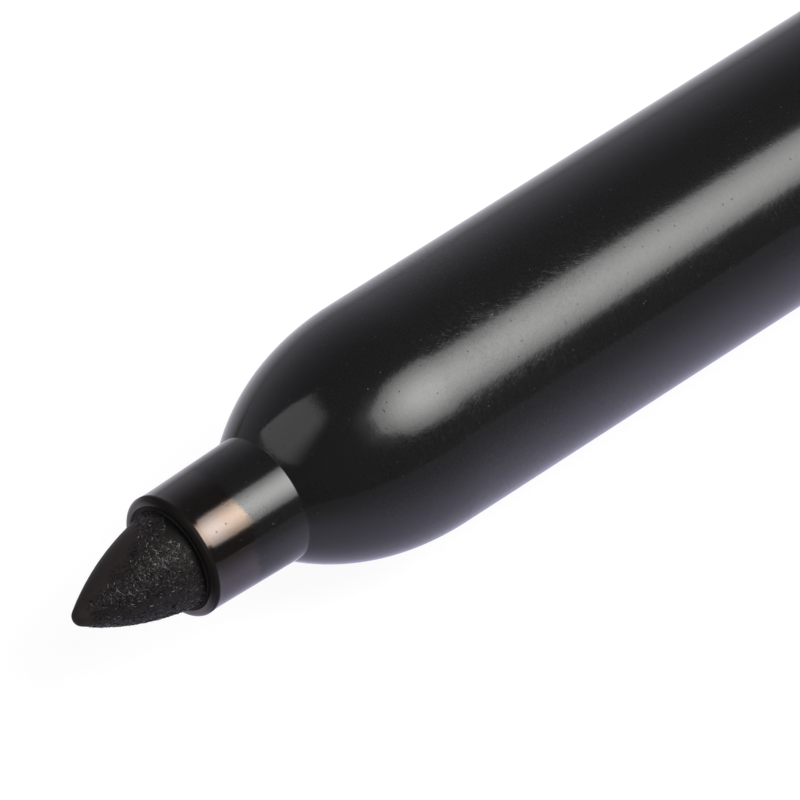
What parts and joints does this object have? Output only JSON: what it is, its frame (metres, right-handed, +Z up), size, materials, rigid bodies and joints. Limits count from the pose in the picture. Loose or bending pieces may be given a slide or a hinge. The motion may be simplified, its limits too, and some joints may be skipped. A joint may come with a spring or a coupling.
{
  "type": "permanent marker",
  "caption": "Black permanent marker with a bullet fibre nib in a moulded collar, a round barrel, and a clip cap posted on its tail.",
  "frame": {"origin": "on the marker's axis, at the middle of the barrel's straight grip", "axes": "+X along the axis from the nib to the cap, +Z up as the marker lies on a table"},
  "size_m": [0.1738, 0.0151, 0.0126],
  "materials": {
    "nib_felt": "bonded fibre soaked with black ink",
    "black_plastic": "moulded, glossy, with fine rub marks",
    "ink_fibre": "felted fibre soaked with black ink",
    "wrap_film": "thin clear film",
    "liner_plastic": "soft natural plastic"
  },
  "bodies": {
    "marker": {"nib": "nib_felt", "front_section": "black_plastic", "barrel": "black_plastic", "ink_reservoir": "ink_fibre", "reservoir_film": "wrap_film", "tail_plug": "black_plastic"},
    "cap": {"cap_shell": "black_plastic", "cap_liner": "liner_plastic"},
    "clip": {"cap_clip": "black_plastic"}
  },
  "joints": [
    {"name": "cap_slide", "type": "slide", "parent": "marker", "child": "cap", "axis": [1, 0, 0], "range_m": [0, 0.04]},
    {"name": "clip_flex", "type": "hinge", "parent": "cap", "child": "clip", "pos_m": [0.0869, -0.00667, -0.00385], "axis": [0, -0.5, 0.866], "range_deg": [0, 6], "stiffness_Nm_per_rad": 0.6}
  ]
}
